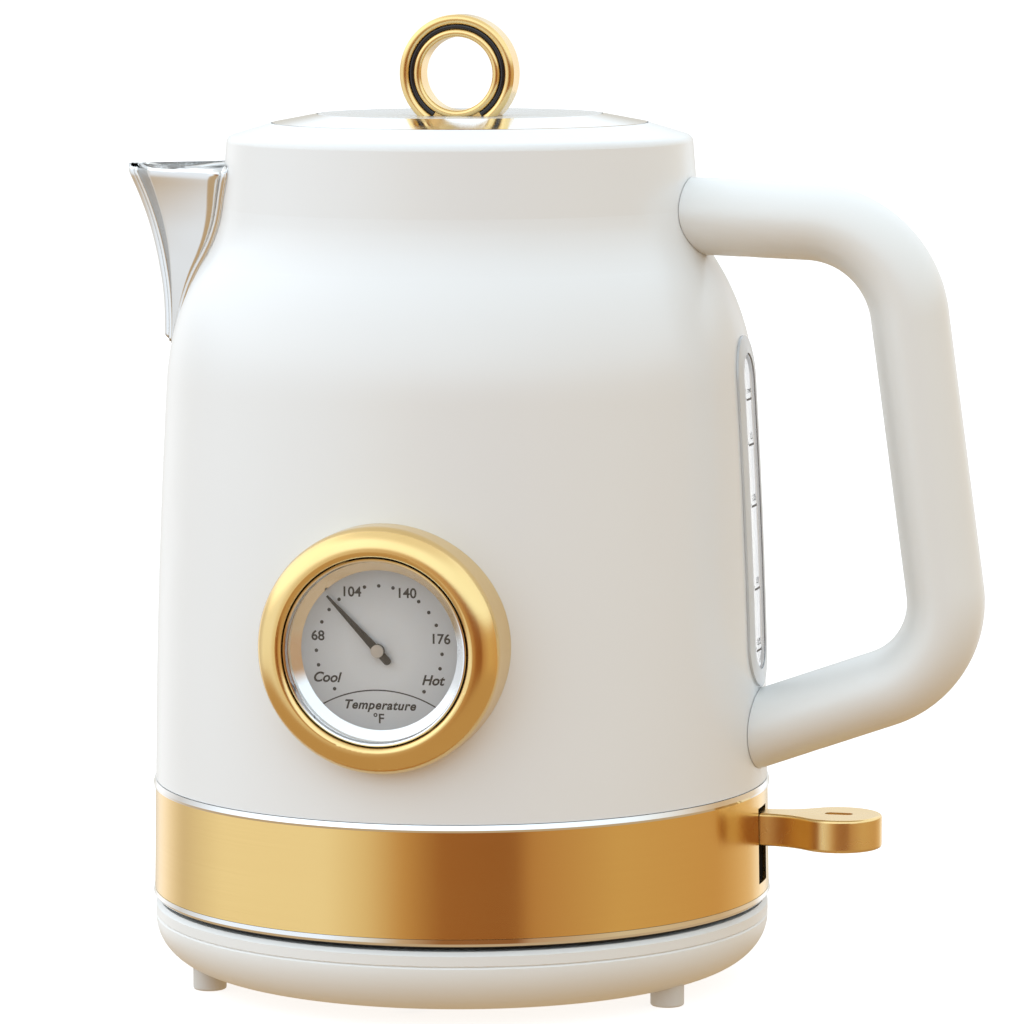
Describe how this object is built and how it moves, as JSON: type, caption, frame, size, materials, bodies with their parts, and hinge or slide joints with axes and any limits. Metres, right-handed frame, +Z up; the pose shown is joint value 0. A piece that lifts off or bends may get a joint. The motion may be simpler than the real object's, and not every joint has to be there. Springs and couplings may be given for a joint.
{
  "type": "electric kettle",
  "caption": "Cordless electric kettle with V spout, tubular handle, water window, dial thermometer, lift-off lid with ring knob, metal band and round power base.",
  "frame": {"origin": "on the kettle's vertical axis, at the level the feet stand on", "axes": "+Z up, +X towards the handle, -X towards the spout, -Y the side with the thermometer"},
  "size_m": [0.2173, 0.1639, 0.2411],
  "materials": {
    "white_paint": "satin gloss",
    "white_plastic": "satin gloss",
    "polished_steel": "mirror polished",
    "lid_grey": "satin",
    "inner_steel": "satin",
    "silicone": "matte",
    "gold_polished": "polished",
    "gold_brushed": "fine brushed, around the band",
    "gold_lever": "satin",
    "screw_steel": "plain",
    "window_grey": "gloss",
    "window_clear": "clear plastic",
    "bimetal": "plain",
    "dial_face": "matte",
    "crystal": "clear",
    "needle_black": "satin",
    "black_plastic": "matte",
    "spreader_aluminium": "plain",
    "element_sheath": "oxidised",
    "control_red": "matte",
    "contact_brass": "plain",
    "foot_pad": "matte",
    "black_rubber": "matte"
  },
  "bodies": {
    "base": {"base_tub": "white_plastic", "base_top": "white_plastic", "base_feet": "foot_pad", "base_screws": "screw_steel", "base_connector": "black_plastic", "base_contacts": "contact_brass", "cord_gland": "black_rubber", "cord_clamp": "black_plastic"},
    "connector": {"kettle_socket": "black_plastic", "socket_live_pin": "contact_brass", "socket_neutral_ring": "contact_brass", "socket_earth_ring": "contact_brass"},
    "kettle": {"body_shell": "white_paint", "spout": "polished_steel", "handle_grip": "white_plastic", "handle_upper_bracket": "inner_steel", "handle_lower_bracket": "inner_steel", "handle_screws": "screw_steel", "window_frame": "window_grey", "window_lens": "window_clear", "window_gasket": "silicone", "window_clamp": "window_grey", "gauge_bezel": "gold_polished", "gauge_case": "inner_steel", "gauge_gasket": "silicone", "gauge_nut": "screw_steel", "gauge_coil": "bimetal", "gauge_dial": "dial_face", "gauge_inner_ring": "polished_steel", "gauge_crystal": "crystal", "gauge_rim": "polished_steel", "gold_band": "gold_brushed", "upper_trim_ring": "polished_steel", "lower_trim_ring": "polished_steel", "bottom_housing": "black_plastic", "housing_screws": "screw_steel", "mounting_nuts": "screw_steel", "heater_plate": "inner_steel", "heat_spreader": "spreader_aluminium", "heating_element": "element_sheath", "steam_tube": "inner_steel", "tube_grommet": "silicone", "bimetal_disc": "bimetal", "bimetal_carrier": "black_plastic", "control_unit": "black_plastic", "control_screws": "screw_steel", "lever_pin": "screw_steel", "trip_pin": "screw_steel"},
    "lid": {"lid_cap": "polished_steel", "lid_disc": "lid_grey", "lid_cup": "inner_steel", "lid_seal": "silicone", "lid_ring": "gold_polished", "lid_ring_nut": "screw_steel"},
    "needle": {"gauge_needle": "needle_black", "gauge_hub": "screw_steel", "gauge_spindle": "screw_steel"},
    "lever": {"lever_paddle": "gold_lever", "lever_arm": "black_plastic"},
    "trip": {"trip_lever": "control_red"}
  },
  "joints": [
    {"name": "kettle_lift", "type": "slide", "parent": "base", "child": "connector", "axis": [0, 0, 1], "range_m": [0, 0.06]},
    {"name": "kettle_swivel", "type": "hinge", "parent": "connector", "child": "kettle", "pos_m": [0, 0, 0], "axis": [0, 0, 1], "continuous": true},
    {"name": "lid_lift", "type": "slide", "parent": "kettle", "child": "lid", "axis": [0, 0, 1], "range_m": [0, 0.05]},
    {"name": "needle_turn", "type": "hinge", "parent": "kettle", "child": "needle", "pos_m": [0, -0.08, 0.0929], "axis": [0, 1, 0], "range_deg": [-87, 175]},
    {"name": "lever_rock", "type": "hinge", "parent": "kettle", "child": "lever", "pos_m": [0.038, 0, 0.0397], "axis": [0, 1, 0], "range_deg": [0, 12]},
    {"name": "trip_rock", "type": "hinge", "parent": "kettle", "child": "trip", "pos_m": [0.018, 0, 0.0452], "axis": [0, 1, 0], "range_deg": [-14, 0]}
  ],
  "couplings": [
    {"joint": "trip_rock", "follows": "lever_rock", "ratio": -1.1}
  ]
}
